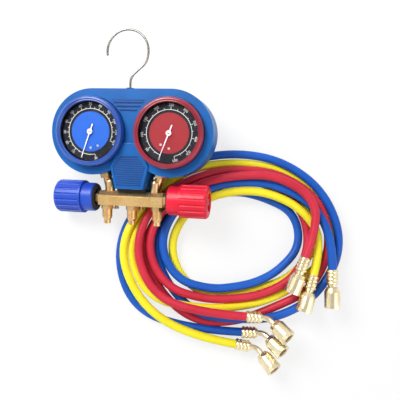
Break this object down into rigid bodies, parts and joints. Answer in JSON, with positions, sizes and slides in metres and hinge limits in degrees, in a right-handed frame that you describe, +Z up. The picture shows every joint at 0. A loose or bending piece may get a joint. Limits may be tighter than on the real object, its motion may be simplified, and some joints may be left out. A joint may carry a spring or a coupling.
{
  "type": "refrigerant manifold gauge set",
  "caption": "Refrigerant manifold with compound and high pressure dial gauges in a moulded housing, hand valves, flare ports, a hanging hook and coiled charging hoses.",
  "frame": {"origin": "centre of the bottom of the manifold's own box (hoses and their fittings left out), on the surface that the set lies on", "axes": "+Z up off the surface, +Y from the ports towards the hanging hook, +X from the low side knob towards the high side knob"},
  "size_m": [0.3403, 0.3949, 0.0835],
  "materials": {
    "cast_brass": "machined bar, lightly cast texture",
    "turned_brass": "turned, bright",
    "pale_brass": "pale turned brass, satin",
    "steel": "turned steel",
    "chrome_wire": "bright plated wire",
    "seal_rubber": "moulded seal",
    "blue_housing": "moulded, fine texture",
    "blue_knob": "moulded, satin",
    "red_knob": "moulded, satin",
    "blue_bezel": "glossy",
    "red_bezel": "glossy",
    "case_enamel": "black enamel",
    "dial_print": "printed sheet, matt",
    "pointer_white": "white enamel",
    "clear_lens": "clear",
    "blue_hose": "smooth extruded cover",
    "yellow_hose": "smooth extruded cover",
    "red_hose": "smooth extruded cover"
  },
  "bodies": {
    "manifold": {"manifold_bar": "cast_brass", "port_low": "turned_brass", "port_service": "turned_brass", "port_high": "turned_brass", "hose_hangers": "turned_brass", "low_valve_bonnet": "turned_brass", "high_valve_bonnet": "turned_brass", "hook_bush": "seal_rubber", "housing_front": "blue_housing", "housing_back": "blue_housing", "housing_screws": "steel", "dial_screws": "steel", "low_gauge_case": "case_enamel", "low_gauge_socket": "turned_brass", "low_bourdon_tube": "turned_brass", "low_movement": "turned_brass", "low_dial": "dial_print", "low_lens": "clear_lens", "low_bezel": "blue_bezel", "high_gauge_case": "case_enamel", "high_gauge_socket": "turned_brass", "high_bourdon_tube": "turned_brass", "high_movement": "turned_brass", "high_dial": "dial_print", "high_lens": "clear_lens", "high_bezel": "red_bezel", "blue_hose": "blue_hose", "blue_bent_end": "pale_brass", "blue_straight_end": "pale_brass", "yellow_hose": "yellow_hose", "yellow_bent_end": "pale_brass", "yellow_straight_end": "pale_brass", "red_hose": "red_hose", "red_bent_end": "pale_brass", "red_straight_end": "pale_brass", "hose_gaskets": "seal_rubber"},
    "low_piston": {"low_valve_piston": "turned_brass", "low_valve_seal": "seal_rubber"},
    "low_knob": {"low_knob": "blue_knob", "low_knob_screw": "steel", "low_valve_stem": "steel"},
    "low_pointer": {"low_pointer": "pointer_white", "low_pinion": "turned_brass"},
    "low_sector": {"low_sector_gear": "turned_brass"},
    "high_piston": {"high_valve_piston": "turned_brass", "high_valve_seal": "seal_rubber"},
    "high_knob": {"high_knob": "red_knob", "high_knob_screw": "steel", "high_valve_stem": "steel"},
    "high_pointer": {"high_pointer": "pointer_white", "high_pinion": "turned_brass"},
    "high_sector": {"high_sector_gear": "turned_brass"},
    "hook": {"hook": "chrome_wire"},
    "blue_bent_nut": {"blue_bent_nut": "pale_brass"},
    "blue_straight_nut": {"blue_straight_nut": "pale_brass"},
    "yellow_bent_nut": {"yellow_bent_nut": "pale_brass"},
    "yellow_straight_nut": {"yellow_straight_nut": "pale_brass"},
    "red_bent_nut": {"red_bent_nut": "pale_brass"},
    "red_straight_nut": {"red_straight_nut": "pale_brass"}
  },
  "joints": [
    {"name": "low_valve_lift", "type": "slide", "parent": "manifold", "child": "low_piston", "axis": [-0.9832, 0.0567, -0.1736], "range_m": [0, 0.0025]},
    {"name": "low_valve_turn", "type": "hinge", "parent": "low_piston", "child": "low_knob", "pos_m": [-0.06218, -0.07594, 0.02327], "axis": [-0.9832, 0.0567, -0.1736], "range_deg": [0, 720]},
    {"name": "low_sector_swing", "type": "hinge", "parent": "manifold", "child": "low_sector", "pos_m": [-0.04136, -0.0251, 0.03998], "axis": [-0.1797, -0.129, 0.9752], "range_deg": [-4, 34.25], "stiffness_Nm_per_rad": 0.01},
    {"name": "low_pointer_sweep", "type": "hinge", "parent": "manifold", "child": "low_pointer", "pos_m": [-0.04852, -0.0047, 0.05264], "axis": [-0.1797, -0.129, 0.9752], "range_deg": [-274, 32]},
    {"name": "high_valve_lift", "type": "slide", "parent": "manifold", "child": "high_piston", "axis": [0.9832, -0.0567, 0.1736], "range_m": [0, 0.0025]},
    {"name": "high_valve_turn", "type": "hinge", "parent": "high_piston", "child": "high_knob", "pos_m": [0.0558, -0.08274, 0.0441], "axis": [0.9832, -0.0567, 0.1736], "range_deg": [0, 720]},
    {"name": "high_sector_swing", "type": "hinge", "parent": "manifold", "child": "high_sector", "pos_m": [0.03633, -0.02958, 0.05371], "axis": [-0.1797, -0.129, 0.9752], "range_deg": [0, 40.62], "stiffness_Nm_per_rad": 0.01},
    {"name": "high_pointer_sweep", "type": "hinge", "parent": "manifold", "child": "high_pointer", "pos_m": [0.04095, -0.00986, 0.06845], "axis": [-0.1797, -0.129, 0.9752], "range_deg": [-325, 0]},
    {"name": "hook_swivel", "type": "hinge", "parent": "manifold", "child": "hook", "pos_m": [-0.00407, 0.04271, 0.04968], "axis": [0.0329, 0.99, 0.1371], "continuous": true},
    {"name": "blue_bent_nut_spin", "type": "hinge", "parent": "manifold", "child": "blue_bent_nut", "pos_m": [0.15443, -0.24145, 0.01197], "axis": [0.6022, -0.5676, 0.5615], "continuous": true},
    {"name": "blue_straight_nut_spin", "type": "hinge", "parent": "manifold", "child": "blue_straight_nut", "pos_m": [0.22778, -0.17815, 0.02887], "axis": [-0.013, -0.9999, -0.0078], "continuous": true},
    {"name": "yellow_bent_nut_spin", "type": "hinge", "parent": "manifold", "child": "yellow_bent_nut", "pos_m": [0.14567, -0.25897, 0.0135], "axis": [0.5604, -0.6622, 0.4974], "continuous": true},
    {"name": "yellow_straight_nut_spin", "type": "hinge", "parent": "manifold", "child": "yellow_straight_nut", "pos_m": [0.2015, -0.18384, 0.0294], "axis": [-0.2939, -0.9523, 0.0823], "continuous": true},
    {"name": "red_bent_nut_spin", "type": "hinge", "parent": "manifold", "child": "red_bent_nut", "pos_m": [0.15793, -0.22089, 0.02919], "axis": [0.6233, -0.6, 0.5015], "continuous": true},
    {"name": "red_straight_nut_spin", "type": "hinge", "parent": "manifold", "child": "red_straight_nut", "pos_m": [0.19029, -0.16296, 0.03244], "axis": [-0.3655, -0.9302, -0.0332], "continuous": true}
  ],
  "couplings": [
    {"joint": "low_valve_turn", "follows": "low_valve_lift", "rad_per_m": 5026.5},
    {"joint": "low_pointer_sweep", "follows": "low_sector_swing", "ratio": -8},
    {"joint": "high_valve_turn", "follows": "high_valve_lift", "rad_per_m": 5026.5},
    {"joint": "high_pointer_sweep", "follows": "high_sector_swing", "ratio": -8}
  ]
}
